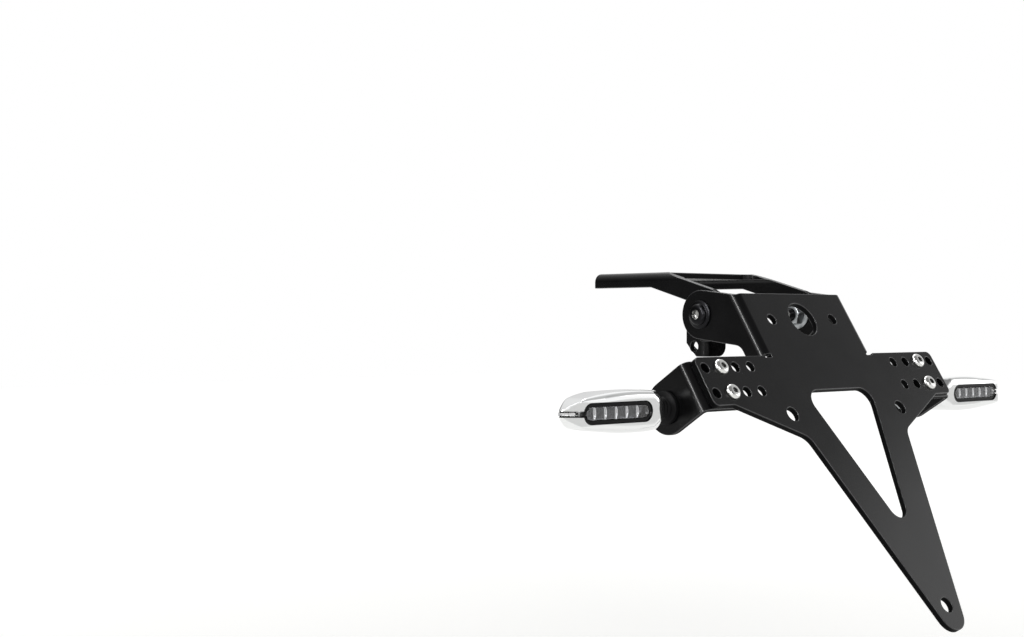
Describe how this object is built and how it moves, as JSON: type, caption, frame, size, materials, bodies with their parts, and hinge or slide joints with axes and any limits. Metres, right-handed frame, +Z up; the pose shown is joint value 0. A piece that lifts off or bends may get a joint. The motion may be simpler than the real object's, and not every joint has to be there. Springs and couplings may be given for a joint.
{
  "type": "tail tidy",
  "caption": "Folded steel licence plate holder that tilts on a bracket under a motorbike's tail, with a tapered open leg, rows of wing holes and a chrome light indicator on each side.",
  "frame": {"origin": "centre of the four tail bolts, on the top face of the tail bracket", "axes": "+X to the right of the bike, +Y to its front, +Z up, with the tail bracket's web level"},
  "size_m": [0.319, 0.1939, 0.1608],
  "materials": {
    "powder_coat": "satin black powder coat on folded steel",
    "black_steel": "black oxide steel",
    "zinc_steel": "zinc-plated steel",
    "stainless_steel": "polished stainless steel",
    "nylon": "black nylon",
    "chrome": "chrome-plated die casting",
    "smoked_lens": "smoked clear polycarbonate",
    "black_plastic": "gloss black moulding",
    "reflector": "metallised moulding",
    "circuit_board": "white solder mask",
    "led": "amber light-emitting diodes",
    "rubber": "moulded black rubber"
  },
  "bodies": {
    "root": {"tail_bracket": "powder_coat", "pivot_bolts": "black_steel", "pivot_nuts": "zinc_steel", "pivot_washers": "nylon"},
    "holder": {"number_plate_holder": "powder_coat", "bracket_screws": "stainless_steel", "bracket_washers": "zinc_steel", "bracket_nuts": "zinc_steel", "indicator_studs": "zinc_steel", "indicator_washers": "zinc_steel", "indicator_nuts": "zinc_steel", "indicator_bracket_left": "powder_coat", "indicator_bracket_right": "powder_coat", "indicator_housing_left": "chrome", "indicator_housing_right": "chrome", "indicator_lens_left": "smoked_lens", "indicator_lens_right": "smoked_lens", "indicator_bezel_left": "black_plastic", "indicator_bezel_right": "black_plastic", "indicator_reflector_left": "reflector", "indicator_reflector_right": "reflector", "indicator_board_left": "circuit_board", "indicator_board_right": "circuit_board", "indicator_leds_left": "led", "indicator_leds_right": "led", "indicator_stem_left": "rubber", "indicator_stem_right": "rubber"}
  },
  "joints": [
    {"name": "holder_tilt", "type": "hinge", "parent": "root", "child": "holder", "pos_m": [0, -0.0536, -0.02125], "axis": [1, 0, 0], "range_deg": [-15, 20]}
  ]
}
